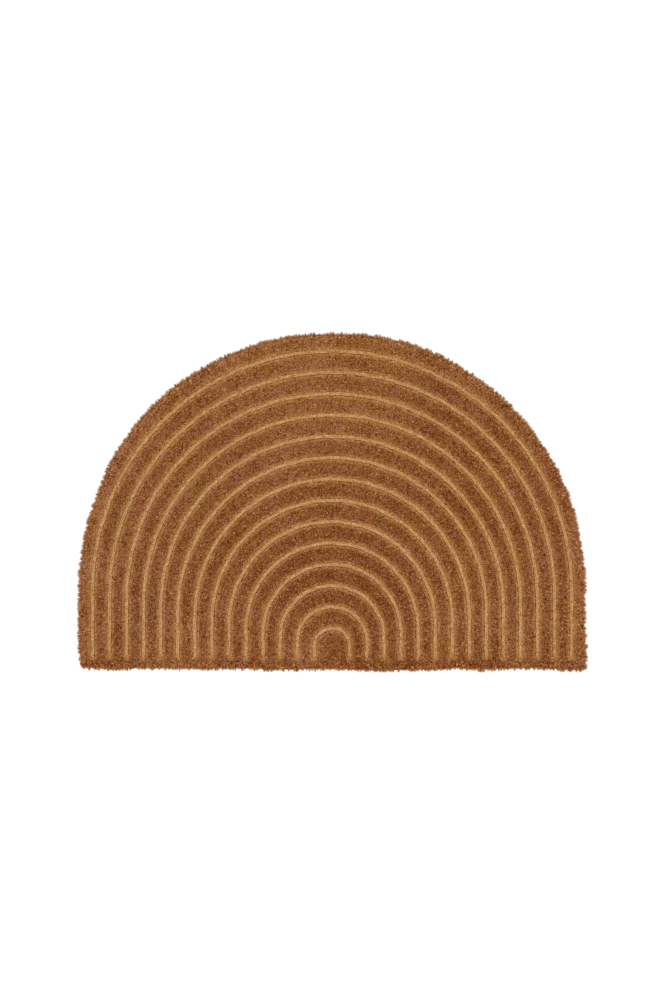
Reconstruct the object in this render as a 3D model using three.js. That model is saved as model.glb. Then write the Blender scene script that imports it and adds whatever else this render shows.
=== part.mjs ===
// A half-round coir doormat, in millimetres, lying pile up on z = 0.
// Its straight edge runs along x on the -y side and its arch rises towards +y.
// Fourteen arches are pressed into the cut pile, one inside the other.
import * as THREE from "three";
import { mergeVertices } from "three/addons/utils/BufferGeometryUtils.js";

// The whole mat
const matWidth = 750;
const matDepth = 500;
const pileHeight = 15;
const cornerRadius = 6;

// The pressed arches, each a half circle on two straight legs
const grooveCount = 14;
const firstGrooveRadius = 26.3;
const grooveRadiusStep = 25.2;
const firstGrooveCentre = 37.5; // above the straight edge
const grooveCentreStep = 6.3;
const patternShift = -0.6; // the pattern sits a little left of the middle
const grooveFoot = 20.5; // where the pressed floor stops, above the straight edge
const grooveFootRamp = 5; // the rise from the floor's end to the full pile

// A groove across its width: the pressed floor, the steep side and the soft shoulder
const grooveProfile = [
  { out: 2.4, height: 9.0 },
  { out: 4.2, height: 12.4 },
  { out: 8.4, height: pileHeight },
];

// The cut edge from the top face down: how far in from the outline, and how high
const rimProfile = [
  { inset: 4.5, height: pileHeight },
  { inset: 1.3, height: 13.8 },
  { inset: 0, height: 11.0 },
  { inset: 0.8, height: 0 },
];

// How far the edge of the pile strays inwards or outwards, by the distance
// round the mat from the lower end of its right-hand side, anticlockwise
const edgeStray = [
  { along: 0, out: 0 },
  { along: 40, out: 0.1 },
  { along: 90, out: -2.6 },
  { along: 120, out: -1.5 },
  { along: 185, out: -2.6 },
  { along: 280, out: 0 },
  { along: 480, out: 0.8 },
  { along: 575, out: 2.6 },
  { along: 710, out: 0 },
  { along: 790, out: 1.3 },
  { along: 870, out: 1.1 },
  { along: 985, out: 2.6 },
  { along: 1100, out: 1.5 },
  { along: 1165, out: -1.5 },
  { along: 1300, out: -0.4 },
  { along: 1340, out: 0 },
  { along: 1375, out: 0.5 },
  { along: 1400, out: -0.6 },
  { along: 1424, out: -4.4 },
  { along: 1470, out: -1.6 },
  { along: 1510, out: -3.5 },
  { along: 1600, out: -2.4 },
  { along: 1650, out: -3.4 },
  { along: 1715, out: -1.3 },
  { along: 1790, out: -2.2 },
  { along: 1862, out: 0 },
  { along: 1950, out: -1.3 },
  { along: 1980, out: -3.5 },
  { along: 2010, out: -1.3 },
  { along: 2100, out: -3.5 },
  { along: 2140, out: -1.3 },
];

// How finely the curves are cut into straight steps
const firstGrooveSteps = 18;
const grooveStepsAdded = 2; // for each groove further out
const outlineArchSteps = 72;
const outlineSideSteps = 4;
const straightEdgeSteps = 44;
const cornerSteps = 3;

const archRadius = matWidth / 2;
const straightEdgeY = -matDepth / 2;
const archCentreY = matDepth / 2 - archRadius;
const footRowY = straightEdgeY + grooveFoot - grooveFootRamp;

// A point of the table that lies smoothly between its rows, round and round
function strayAt(along, length) {
  const last = edgeStray.length - 1;
  const next = edgeStray.findIndex((row) => row.along > along);
  const after = next < 0 ? { along: length, out: edgeStray[0].out } : edgeStray[next];
  const before = edgeStray[next < 0 ? last : next - 1];
  const share = (along - before.along) / (after.along - before.along);
  return THREE.MathUtils.lerp(before.out, after.out, THREE.MathUtils.smoothstep(share, 0, 1));
}

// One line of points along an arch: up the right leg, over the half circle and
// down the left leg. Beyond its feet the line rises to the full pile.
function archLine(radius, centreHeight, height, steps) {
  const centreY = straightEdgeY + centreHeight;
  const footY = straightEdgeY + grooveFoot;
  const points = [];
  points.push(new THREE.Vector3(patternShift + radius, footRowY, pileHeight));
  points.push(new THREE.Vector3(patternShift + radius, footY, height));
  for (let step = 0; step <= steps; step++) {
    const angle = (Math.PI * step) / steps;
    const x = patternShift + radius * Math.cos(angle);
    const y = centreY + radius * Math.sin(angle);
    points.push(new THREE.Vector3(x, y, height));
  }
  points.push(new THREE.Vector3(patternShift - radius, footY, height));
  points.push(new THREE.Vector3(patternShift - radius, footRowY, pileHeight));
  return points;
}

// The lines of points from the middle of the mat out to the last groove's outer shoulder
function patternLines() {
  const lines = [archLine(0, firstGrooveCentre, pileHeight, firstGrooveSteps)];
  for (let groove = 0; groove < grooveCount; groove++) {
    const radius = firstGrooveRadius + groove * grooveRadiusStep;
    const centre = firstGrooveCentre + groove * grooveCentreStep;
    const steps = firstGrooveSteps + groove * grooveStepsAdded;
    for (const row of [...grooveProfile].reverse()) {
      lines.push(archLine(radius - row.out, centre, row.height, steps));
    }
    for (const row of grooveProfile) {
      lines.push(archLine(radius + row.out, centre, row.height, steps));
    }
  }
  return lines;
}

// The mat's outline without its unevenness, as two open stretches that meet at the
// height of the groove feet: over the arch, and round the straight edge below it
function plainOutline() {
  const arch = [];
  for (let step = 0; step < outlineSideSteps; step++) {
    const y = THREE.MathUtils.lerp(footRowY, archCentreY, step / outlineSideSteps);
    arch.push(new THREE.Vector2(archRadius, y));
  }
  for (let step = 0; step <= outlineArchSteps; step++) {
    const angle = (Math.PI * step) / outlineArchSteps;
    const x = archRadius * Math.cos(angle);
    arch.push(new THREE.Vector2(x, archCentreY + archRadius * Math.sin(angle)));
  }
  for (let step = 1; step <= outlineSideSteps; step++) {
    const y = THREE.MathUtils.lerp(archCentreY, footRowY, step / outlineSideSteps);
    arch.push(new THREE.Vector2(-archRadius, y));
  }

  const foot = [arch.at(-1).clone()];
  const cornerY = straightEdgeY + cornerRadius;
  const cornerX = archRadius - cornerRadius;
  for (let step = 0; step <= cornerSteps; step++) {
    const angle = Math.PI + (Math.PI / 2) * (step / cornerSteps);
    const x = -cornerX + cornerRadius * Math.cos(angle);
    foot.push(new THREE.Vector2(x, cornerY + cornerRadius * Math.sin(angle)));
  }
  for (let step = 1; step < straightEdgeSteps; step++) {
    const x = THREE.MathUtils.lerp(-cornerX, cornerX, step / straightEdgeSteps);
    foot.push(new THREE.Vector2(x, straightEdgeY));
  }
  for (let step = 0; step <= cornerSteps; step++) {
    const angle = -Math.PI / 2 + (Math.PI / 2) * (step / cornerSteps);
    const x = cornerX + cornerRadius * Math.cos(angle);
    foot.push(new THREE.Vector2(x, cornerY + cornerRadius * Math.sin(angle)));
  }
  foot.push(arch[0].clone());
  return { arch, foot };
}

// The outward direction at each point of a closed anticlockwise loop
function outwardDirections(loop) {
  return loop.map((point, index) => {
    const before = loop.at(index - 1);
    const after = loop[(index + 1) % loop.length];
    const along = after.clone().sub(before).normalize();
    return new THREE.Vector2(along.y, -along.x);
  });
}

// The loops of the cut edge, each as its arch stretch and its foot stretch
function rimLoops() {
  const { arch, foot } = plainOutline();
  const plain = [...arch, ...foot.slice(1, -1)];
  const directions = outwardDirections(plain);
  const distances = [0];
  for (let index = 1; index < plain.length; index++) {
    distances.push(distances[index - 1] + plain[index].distanceTo(plain[index - 1]));
  }
  // The distances count from the lower end of the right-hand side
  const sideStart = footRowY - (straightEdgeY + cornerRadius);
  const length = distances.at(-1) + plain.at(-1).distanceTo(plain[0]);
  const outline = plain.map((point, index) => {
    const along = (distances[index] + sideStart) % length;
    return point.clone().addScaledVector(directions[index], strayAt(along, length));
  });
  return rimProfile.map(({ inset, height }) => {
    const loop = outline.map((point, index) => {
      const moved = point.clone().addScaledVector(directions[index], -inset);
      return new THREE.Vector3(moved.x, moved.y, height);
    });
    return {
      arch: loop.slice(0, arch.length),
      foot: [...loop.slice(arch.length - 1), loop[0]],
      whole: loop,
    };
  });
}

// The triangles between two lines that run side by side, the first on the left.
// The lines may have different numbers of points, and a side without length is left out.
function strip(left, right) {
  const triangles = [];
  const add = (a, b, c) => {
    const flat = a.equals(b) || b.equals(c) || c.equals(a);
    if (!flat) triangles.push(a, b, c);
  };
  let i = 0;
  let j = 0;
  while (i < left.length - 1 || j < right.length - 1) {
    const leftShare = (i + 1) / (left.length - 1);
    const rightShare = (j + 1) / (right.length - 1);
    if (leftShare < rightShare) {
      add(left[i], right[j], left[i + 1]);
      i++;
    } else {
      add(left[i], right[j], right[j + 1]);
      j++;
    }
  }
  return triangles;
}

// The flat underside, facing down
function underside(loop) {
  const contour = loop.map((point) => new THREE.Vector2(point.x, point.y));
  const faces = THREE.ShapeUtils.triangulateShape(contour, []);
  return faces.flatMap(([a, b, c]) => [loop[a], loop[c], loop[b]]);
}

function matGeometry() {
  const lines = patternLines();
  const loops = rimLoops();
  const triangles = [];
  for (let index = 1; index < lines.length; index++) {
    triangles.push(...strip(lines[index - 1], lines[index]));
  }

  // The plain pile outside the last groove, and the plain strip along the straight edge
  const outermost = lines.at(-1);
  const leftFeet = lines.map((line) => line.at(-1)).reverse();
  const rightFeet = lines.slice(1).map((line) => line[0]);
  const footRow = [...leftFeet, ...rightFeet];
  triangles.push(...strip(outermost, loops[0].arch));
  triangles.push(...strip(footRow, loops[0].foot));

  for (let index = 1; index < loops.length; index++) {
    const above = [...loops[index - 1].whole, loops[index - 1].whole[0]];
    const below = [...loops[index].whole, loops[index].whole[0]];
    triangles.push(...strip(above, below));
  }
  triangles.push(...underside(loops.at(-1).whole));

  const geometry = new THREE.BufferGeometry().setFromPoints(triangles);
  const merged = mergeVertices(geometry, 1e-4);
  merged.computeVertexNormals();
  return merged;
}

const coir = new THREE.MeshStandardMaterial({
  name: "coir_pile",
  color: new THREE.Color(0x95623a),
  roughness: 0.95,
  metalness: 0,
});

const doormat = new THREE.Group();
doormat.name = "doormat";

const mat = new THREE.Mesh(matGeometry(), coir);
mat.name = "mat";
doormat.add(mat);

export default doormat;
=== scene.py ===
"""A half-round coir doormat lying on a pale floor, seen from straight above.

Lengths are in metres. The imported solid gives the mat's outline and place. Over it come
the bed that the fibres stand in, the cut pile, the fibres pressed flat in the grooves
and the bristles along the cut edge.
"""

import logging
import math
from dataclasses import dataclass
from enum import Enum

import bpy
import numpy as np
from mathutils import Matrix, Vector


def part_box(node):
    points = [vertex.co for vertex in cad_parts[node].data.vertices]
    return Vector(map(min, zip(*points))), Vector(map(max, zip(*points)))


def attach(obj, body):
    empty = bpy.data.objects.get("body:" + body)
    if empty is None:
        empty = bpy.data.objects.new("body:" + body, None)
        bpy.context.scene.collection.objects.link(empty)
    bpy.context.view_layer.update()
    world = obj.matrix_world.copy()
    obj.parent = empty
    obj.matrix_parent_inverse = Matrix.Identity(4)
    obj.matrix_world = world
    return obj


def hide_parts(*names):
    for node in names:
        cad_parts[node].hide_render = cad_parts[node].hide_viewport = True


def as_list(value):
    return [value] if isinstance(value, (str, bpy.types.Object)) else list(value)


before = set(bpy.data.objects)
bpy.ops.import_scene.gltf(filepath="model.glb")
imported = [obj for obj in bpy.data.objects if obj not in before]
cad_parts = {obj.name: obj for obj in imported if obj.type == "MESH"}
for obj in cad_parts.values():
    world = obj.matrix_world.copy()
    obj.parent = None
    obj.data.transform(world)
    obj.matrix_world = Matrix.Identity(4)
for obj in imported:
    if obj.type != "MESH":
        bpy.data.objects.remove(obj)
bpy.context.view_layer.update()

log = logging.getLogger("doormat")

MM = 0.001
SEED = 14

# How far the random grids reach from the middle of the mat
GRID_REACH = 0.45

# The least length that anything is divided by
TINY = 1e-9

Colour = tuple[float, float, float]
Span = tuple[float, float]
Table = tuple[Span, ...]
Stops = tuple[tuple[float, Colour], ...]
Array = np.ndarray
Values = Array | float
Random = np.random.Generator
Material = bpy.types.Material
Socket = bpy.types.NodeSocket


def interpolate(table: Table, at: Values) -> Values:
    """Reads a table of places and values, in rising order of place, at other places."""
    places, values = np.array(table).T
    return np.interp(at, places, values)


def eased(share: Array) -> Array:
    """Bends a rise from 0 to 1 so that it sets off and settles gently."""
    return share * share * (3 - 2 * share)


def right_of(along: Array) -> Array:
    """The unit directions a quarter turn to the right of the given ones."""
    across = np.stack([along[:, 1], -along[:, 0]], axis=1)
    return across / np.linalg.norm(across, axis=1)[:, None]


def unit_map(flat: Array) -> Array:
    """Fits rows of x and y into the square from 0 to 1 each way."""
    low, high = flat.min(0), flat.max(0)
    return (flat - low) / (high - low)


def raised(flat: Array, height: float) -> Array:
    """Adds one height to rows of x and y."""
    return np.column_stack([flat, np.full(len(flat), height)])


class SmoothNoise:
    """Random values over the mat that change smoothly from place to place."""

    def __init__(self, rng: Random, spacing: float) -> None:
        """Draws the values.

        Args:
            rng: the source of random numbers.
            spacing: the distance over which the noise changes.
        """
        self.spacing = spacing
        cells = int(2 * GRID_REACH / spacing) + 3
        self.grid = rng.random((cells, cells))

    def at(self, x: Array, y: Array) -> Array:
        """Reads the noise.

        Args:
            x: places along x.
            y: places along y.

        Returns:
            A value from 0 to 1 at each place.
        """
        column = (x + GRID_REACH) / self.spacing
        row = (y + GRID_REACH) / self.spacing
        i = np.floor(column).astype(int)
        j = np.floor(row).astype(int)
        u = eased(column - i)
        v = eased(row - j)
        lower = self.grid[j, i] * (1 - u) + self.grid[j, i + 1] * u
        upper = self.grid[j + 1, i] * (1 - u) + self.grid[j + 1, i + 1] * u
        return lower * (1 - v) + upper * v


class Tufts:
    """Loose bunches of fibres on a shaken grid, each with a look and a lean of its own."""

    def __init__(self, rng: Random, spacing: float) -> None:
        """Scatters the tufts.

        Args:
            rng: the source of random numbers.
            spacing: the usual distance between two tufts.
        """
        self.spacing = spacing
        cells = int(2 * GRID_REACH / spacing) + 4
        shape = (cells, cells)
        margin = 0.1
        rows, columns = np.mgrid[0:cells, 0:cells]
        self.x = (columns + rng.uniform(margin, 1 - margin, shape)) * spacing - GRID_REACH
        self.y = (rows + rng.uniform(margin, 1 - margin, shape)) * spacing - GRID_REACH
        self.shade = rng.random(shape)
        self.odd = rng.random(shape)
        self.rise = rng.normal(0, 1, shape)
        self.lean_x = rng.normal(0, 1, shape)
        self.lean_y = rng.normal(0, 1, shape)

    def nearest(self, x: Array, y: Array) -> tuple[Array, Array]:
        """Finds the tuft that each place belongs to.

        Args:
            x: places along x.
            y: places along y.

        Returns:
            The row and the column of each place's tuft.
        """
        column = np.floor((x + GRID_REACH) / self.spacing).astype(int)
        row = np.floor((y + GRID_REACH) / self.spacing).astype(int)
        best = np.full(x.shape, np.inf)
        found_row, found_column = row, column
        for up in (-1, 0, 1):
            for over in (-1, 0, 1):
                j, i = row + up, column + over
                gap = np.hypot(self.x[j, i] - x, self.y[j, i] - y)
                nearer = gap < best
                best = np.where(nearer, gap, best)
                found_row = np.where(nearer, j, found_row)
                found_column = np.where(nearer, i, found_column)
        return found_row, found_column


@dataclass(frozen=True)
class GroovePlace:
    """Where points lie against the grooves.

    Attributes:
        groove: the number of the nearest groove, from the middle out.
        across: the distance from its middle line, more than 0 on the outer side.
        outward_x: the x part of the direction away from the middle of the mat.
        outward_y: the y part of that direction.
    """

    groove: Array
    across: Array
    outward_x: Array
    outward_y: Array


@dataclass(frozen=True)
class ArchPattern:
    """The nested arches pressed into the pile, each a half circle on two legs.

    Heights count from the mat's straight edge.
    """

    straight_edge: float
    count: int = 14
    first_radius: float = 26.3 * MM
    radius_step: float = 25.2 * MM
    first_centre: float = 37.5 * MM
    centre_step: float = 6.3 * MM
    shift: float = -0.6 * MM

    # Where the floors stop, and the rise from there to the full pile
    foot: float = 20.5 * MM
    foot_ramp: float = 5 * MM
    foot_sharpness: float = 1.25

    # How the grooves fade out above their feet, unevenly along x
    foot_fade: float = 5.5 * MM
    foot_stray: float = 2.1 * MM
    foot_wave: float = 13 * MM
    foot_early: float = 0.7 * MM

    # The size and length of each wave they stray by, and its turn from groove to groove
    waver: Table = ((0.28 * MM, 47 * MM), (0.20 * MM, 19 * MM), (0.08 * MM, 9 * MM))
    waver_turn: float = 2.4

    @property
    def foot_y(self) -> float:
        """The line where the pressed floors stop."""
        return self.straight_edge + self.foot

    @property
    def foot_row_y(self) -> float:
        """The line where the grooves have risen to the full pile."""
        return self.foot_y - self.foot_ramp

    def radius(self, groove: Values) -> Values:
        """The radius of a groove's half circle."""
        return self.first_radius + self.radius_step * groove

    def centre_y(self, groove: Values) -> Values:
        """The height of a groove's centre along y."""
        return self.straight_edge + self.first_centre + self.centre_step * groove

    def leg(self, groove: Values) -> Values:
        """The length of a groove's straight leg on either side."""
        return self.centre_y(groove) - self.foot_y

    def length(self, groove: Values) -> Values:
        """The length of a groove from foot to foot."""
        return 2 * self.leg(groove) + math.pi * self.radius(groove)

    def stray(self, groove: Values, along: Array) -> Array:
        """How far a groove strays outwards from its true arch.

        Args:
            groove: the number of the groove.
            along: the distance along it from its right foot.

        Returns:
            The distance at each place.
        """
        total = np.zeros_like(along)
        for order, (size, wave) in enumerate(self.waver, 1):
            phase = self.waver_turn * order * (groove + 1)
            total = total + size * np.sin(2 * math.pi * along / wave + phase)
        return total

    def foot_rise(self, y: Array) -> Array:
        """How far up the ramps at the groove feet places along y lie, from 0 to 1."""
        return np.clip((self.foot_y - y) / self.foot_ramp, 0, 1)

    def openness(self, x: Array, y: Array) -> Array:
        """How clear of pile the grooves are, from 0 to 1, as they fade out at their feet."""
        uneven = self.foot_stray * np.sin(x / self.foot_wave + 1) - self.foot_early
        return np.clip((y - self.foot_y - uneven) / self.foot_fade, 0, 1)

    def locate(self, x: Array, y: Array) -> GroovePlace:
        """Finds the nearest groove to each point.

        Args:
            x: places along x.
            y: places along y.

        Returns:
            Where the points lie against their nearest grooves.
        """
        best = np.full(x.shape, np.inf)
        found = [np.zeros(x.shape, int), best.copy(), best.copy(), best.copy()]
        below = np.maximum(self.foot_y - y, 0) * self.foot_sharpness
        dx = x - self.shift
        for groove in range(self.count):
            radius = self.radius(groove)
            leg = self.leg(groove)
            dy = np.maximum(y - self.centre_y(groove), 0)
            reach = np.maximum(np.hypot(dx, dy), TINY)
            drop = np.clip(self.centre_y(groove) - y, 0, leg)
            right = leg - drop + radius * np.arctan2(dy, dx)
            left = leg + math.pi * radius + drop
            along = np.where((dy == 0) & (dx < 0), left, right)
            across = reach - radius - self.stray(groove, along)
            across = np.where(across < 0, -1, 1) * np.hypot(across, below)
            nearer = np.abs(across) < best
            best = np.where(nearer, np.abs(across), best)
            values = (groove, across, dx / reach, dy / reach)
            found = [np.where(nearer, new, old) for new, old in zip(values, found)]
        return GroovePlace(*found)

    def point(
        self, groove: Values, along: Array, across: Values, waver: bool = True
    ) -> tuple[Array, Array]:
        """Finds points from their places along and across a groove.

        Args:
            groove: the number of the groove, or a number between two grooves.
            along: the distance along it from its right foot.
            across: the distance outwards from its middle line.
            waver: whether the points stray as their groove does.

        Returns:
            The places of the points along x and y.
        """
        radius = self.radius(groove)
        leg = self.leg(groove)
        angle = np.clip((along - leg) / radius, 0, math.pi)
        drop = np.maximum(leg - along, 0) + np.maximum(along - leg - math.pi * radius, 0)
        stray = self.stray(groove, along) if waver else 0
        reach = radius + across + stray
        x = self.shift + reach * np.cos(angle)
        y = self.centre_y(groove) + reach * np.sin(angle) - drop
        return x, y


@dataclass(frozen=True)
class EdgeSteps:
    """The cut edge in even steps, anticlockwise from the lower end of its right side.

    Attributes:
        spots: one row of x and y for each step.
        outward: the outward direction there.
        arch_count: how many steps go over the arch, before the straight edge.
    """

    spots: Array
    outward: Array
    arch_count: int


class Outline:
    """The mat's cut edge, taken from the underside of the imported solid."""

    underside_height = 0.05 * MM
    decimals = 6
    direction_step = 3 * MM

    def __init__(self, node: bpy.types.Object, row_y: float, grow: float) -> None:
        """Reads the edge.

        Args:
            node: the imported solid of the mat.
            row_y: the line where the grooves have risen to the full pile.
            grow: how far the pile stands out past the underside.
        """
        spots = np.array([vertex.co[:] for vertex in node.data.vertices])
        low = spots[:, 2] < self.underside_height
        flat = np.unique(spots[low][:, :2].round(self.decimals), axis=0)
        middle = (flat.min(0) + flat.max(0)) / 2
        angle = np.arctan2(flat[:, 1] - middle[1], flat[:, 0] - middle[0])
        loop = flat[np.argsort(angle)]
        outward = right_of(np.roll(loop, -1, axis=0) - np.roll(loop, 1, axis=0))
        self.points, self.arch_length = self.cut_at(loop + grow * outward, row_y)
        steps = np.linalg.norm(np.diff(self.points, axis=0), axis=1)
        self.distances = np.concatenate([[0], np.cumsum(steps)])
        self.length = self.distances[-1]

    @staticmethod
    def cut_at(loop: Array, row_y: float) -> tuple[Array, float]:
        """Starts the loop where it crosses a line on the right.

        Args:
            loop: the closed loop, anticlockwise.
            row_y: the line across the mat.

        Returns:
            The loop with its first point repeated at its end, and its length up to
            where it crosses the line on the left.
        """
        after = np.roll(loop, -1, axis=0)
        climb = after[:, 1] - loop[:, 1]
        share = (row_y - loop[:, 1]) / np.where(climb == 0, 1, climb)
        spots = loop + share[:, None] * (after - loop)
        crosses = (loop[:, 1] < row_y) != (after[:, 1] < row_y)
        right = int(np.flatnonzero(crosses & (loop[:, 0] > 0))[0])
        left = int(np.flatnonzero(crosses & (loop[:, 0] < 0))[0])
        turned = np.roll(loop, -(right + 1), axis=0)
        arch_count = (left - right) % len(loop)
        arch = np.array([spots[right], *turned[:arch_count], spots[left]])
        arch_length = np.linalg.norm(np.diff(arch, axis=0), axis=1).sum()
        return np.array([*arch, *turned[arch_count:], spots[right]]), float(arch_length)

    def at(self, distance: Array) -> Array:
        """The spots at the given distances round the edge, as rows of x and y."""
        wrapped = np.mod(distance, self.length)
        return np.column_stack([np.interp(wrapped, self.distances, side) for side in self.points.T])

    def outward_at(self, distance: Array) -> Array:
        """The outward directions at the given distances round the edge."""
        step = self.direction_step
        return right_of(self.at(distance + step) - self.at(distance - step))

    def in_steps(self, step: float) -> EdgeSteps:
        """Goes round the edge in even steps.

        Args:
            step: the usual length of a step.

        Returns:
            The steps.
        """
        arch_count = round(self.arch_length / step)
        foot_count = round((self.length - self.arch_length) / step)
        over = np.linspace(0, self.arch_length, arch_count + 1)
        under = np.linspace(self.arch_length, self.length, foot_count + 1)
        places = np.concatenate([over, under[1:-1]])
        return EdgeSteps(self.at(places), self.outward_at(places), arch_count)

    def depth(self, x: Array, y: Array) -> tuple[Array, Array]:
        """Finds how far inside the edge points lie.

        Args:
            x: places along x.
            y: places along y.

        Returns:
            The distance to the edge, less than 0 outside it, and one row of x and y
            for each point with the direction to the nearest spot of the edge.
        """
        nearest = np.full(x.shape, np.inf)
        towards = np.zeros((*x.shape, 2))
        inside = np.zeros(x.shape, bool)
        for (ax, ay), (bx, by) in zip(self.points[:-1], self.points[1:]):
            ux, uy = bx - ax, by - ay
            squared = ux * ux + uy * uy
            if squared == 0:
                continue
            share = np.clip(((x - ax) * ux + (y - ay) * uy) / squared, 0, 1)
            gap_x = ax + share * ux - x
            gap_y = ay + share * uy - y
            gap = np.hypot(gap_x, gap_y)
            nearer = gap < nearest
            nearest = np.where(nearer, gap, nearest)
            direction = np.stack([gap_x, gap_y], axis=-1) / np.maximum(gap, TINY)[..., None]
            towards = np.where(nearer[..., None], direction, towards)
            if ay != by:
                passes = (ay > y) != (by > y)
                inside ^= passes & (x < ax + (y - ay) * ux / uy)
        return np.where(inside, nearest, -nearest), towards


@dataclass
class MeshParts:
    """A mesh as arrays.

    Attributes:
        vertices: one row of x, y and z for each vertex.
        triangles: one row of three vertex numbers for each triangle.
        bake: a place from 0 to 1 on a flat map for each vertex.
        values: the named numbers that each vertex holds for its finish.
        finish_of: the number of the material on each triangle, or None for the first.
    """

    vertices: Array
    triangles: Array
    bake: Array
    values: dict[str, Array]
    finish_of: Array | None = None

    def build(self, name: str, finishes: list[Material]) -> bpy.types.Object:
        """Makes the object.

        Args:
            name: the name of the piece.
            finishes: its materials.

        Returns:
            The piece, riding on the mat's body.
        """
        mesh = bpy.data.meshes.new(name)
        count = len(self.triangles)
        mesh.vertices.add(len(self.vertices))
        mesh.vertices.foreach_set("co", self.vertices.astype(np.float32).ravel())
        mesh.loops.add(3 * count)
        mesh.loops.foreach_set("vertex_index", self.triangles.astype(np.int32).ravel())
        mesh.polygons.add(count)
        mesh.polygons.foreach_set("loop_start", np.arange(0, 3 * count, 3, dtype=np.int32))
        if self.finish_of is not None:
            mesh.polygons.foreach_set("material_index", self.finish_of.astype(np.int32))
        mesh.update(calc_edges=True)
        mesh.shade_smooth()
        layer = mesh.uv_layers.new(name="OFBake")
        corners = self.bake[self.triangles.ravel()].astype(np.float32)
        layer.uv.foreach_set("vector", corners.ravel())
        for key, value in self.values.items():
            held = mesh.attributes.new(key, "FLOAT", "POINT")
            held.data.foreach_set("value", value.astype(np.float32))
        for finish in finishes:
            mesh.materials.append(finish)
        piece = bpy.data.objects.new(name, mesh)
        bpy.context.scene.collection.objects.link(piece)
        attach(piece, "root")
        log.info("%s: %d triangles", name, count)
        return piece


@dataclass(frozen=True)
class BroadPatch:
    """A wide round stretch of the mat whose look fades into the rest.

    Attributes:
        x: its middle along x.
        y: its middle along y.
        reach: how far from there it is still clear to see.
        amount: what it adds in its middle, less than 0 where it takes away.
    """

    x: float
    y: float
    reach: float
    amount: float

    def at(self, x: Array, y: Array) -> Array:
        """What the patch adds at the given places."""
        squared = (x - self.x) ** 2 + (y - self.y) ** 2
        return self.amount * np.exp(-squared / (2 * self.reach**2))


@dataclass(frozen=True)
class BroadTone:
    """The wide stretches of the mat that differ from the rest.

    Attributes:
        lighter: those that are lighter, or darker where they take away.
        more_golden: those that are more golden, or redder where they take away.
    """

    lighter: tuple[BroadPatch, ...] = (
        BroadPatch(x=0, y=120 * MM, reach=75 * MM, amount=0.15),
        BroadPatch(x=60 * MM, y=-80 * MM, reach=120 * MM, amount=-0.11),
    )
    more_golden: tuple[BroadPatch, ...] = (
        BroadPatch(x=0, y=200 * MM, reach=75 * MM, amount=0.09),
        BroadPatch(x=120 * MM, y=20 * MM, reach=90 * MM, amount=0.055),
        BroadPatch(x=-290 * MM, y=-115 * MM, reach=75 * MM, amount=-0.14),
        BroadPatch(x=0, y=-100 * MM, reach=60 * MM, amount=-0.06),
    )

    def light(self, x: Array, y: Array) -> Array:
        """How much lighter the pile is at the given places."""
        return sum(patch.at(x, y) for patch in self.lighter)

    def golden(self, x: Array, y: Array) -> Array:
        """How much more golden the coir is at the given places."""
        return sum(patch.at(x, y) for patch in self.more_golden)


@dataclass(frozen=True)
class PileHeights:
    """The heights of the pile and of the bed it stands in, across a groove.

    The tables give the distance outwards from a groove's middle line and the height
    there, both in millimetres.
    """

    full: float = 15 * MM
    bed: Table = (
        (-8.8, 12.2), (-7.0, 11.2), (-5.6, 10.2), (-4.6, 9.6), (-3.9, 9.2), (-3.5, 8.9),
        (-3.1, 8.7), (-2.7, 8.9), (-2.45, 9.3), (-1.8, 9.6), (-1.0, 9.9), (0.0, 10.0),
        (1.0, 9.9), (1.8, 9.6), (2.45, 9.3), (2.7, 9.0), (3.2, 9.0), (4.0, 9.3),
        (5.6, 10.2), (7.0, 11.2), (8.8, 12.2),
    )
    tips: Table = (
        (-9.6, 15.0), (-8.2, 14.5), (-6.6, 13.4), (-5.2, 12.4), (-4.0, 11.6), (-3.2, 11.0),
        (2.2, 10.6), (3.2, 11.2), (4.2, 12.0), (5.4, 12.8), (6.8, 13.8), (8.4, 14.7),
        (9.6, 15.0),
    )

    @property
    def full_bed(self) -> float:
        """The height of the bed away from the grooves."""
        return self.bed[0][1] * MM

    def bed_at(self, across: Array) -> Array:
        """The height of the bed at the given distances from a groove."""
        return interpolate(self.bed, across / MM) * MM

    def ramp_at(self, rise: Array) -> Array:
        """The height of the bed up the ramp at a groove's foot, by the share climbed."""
        floor = interpolate(self.bed, 0) * MM
        return floor + (self.full_bed - floor) * rise

    def tips_at(self, across: Array) -> Array:
        """The height of the cut ends at the given distances from a groove."""
        return interpolate(self.tips, across / MM) * MM


class SheetMesh:
    """The vertices and triangles of the bed as they are gathered, line by line."""

    def __init__(self) -> None:
        """Starts with nothing."""
        self.points: list[Array] = []
        self.across: list[Array] = []
        self.triangles: list[tuple[int, int, int]] = []
        self.count = 0

    def add(self, points: Array, across: Values) -> Array:
        """Adds a line of vertices.

        Args:
            points: one row of x, y and z for each.
            across: the distance outwards from the nearest groove, one or one for each.

        Returns:
            The numbers of the vertices.
        """
        first = self.count
        self.count += len(points)
        self.points.append(points)
        self.across.append(np.broadcast_to(across, len(points)))
        return np.arange(first, self.count)

    def fill(self, left: Array, right: Array) -> None:
        """Fills the band between two lines of vertices that run side by side.

        Args:
            left: the vertex numbers of the line on the left, going along.
            right: those of the line on the right.
        """
        i = j = 0
        last_left = len(left) - 1
        last_right = len(right) - 1
        while i < last_left or j < last_right:
            if (i + 1) / last_left < (j + 1) / last_right:
                self.triangles.append((left[i], right[j], left[i + 1]))
                i += 1
            else:
                self.triangles.append((left[i], right[j], right[j + 1]))
                j += 1

    def fill_round(self, loops: list[Array]) -> None:
        """Fills the bands between closed loops, each with the next."""
        for upper, lower in zip(loops[:-1], loops[1:]):
            self.fill(np.append(upper, upper[0]), np.append(lower, lower[0]))


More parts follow.
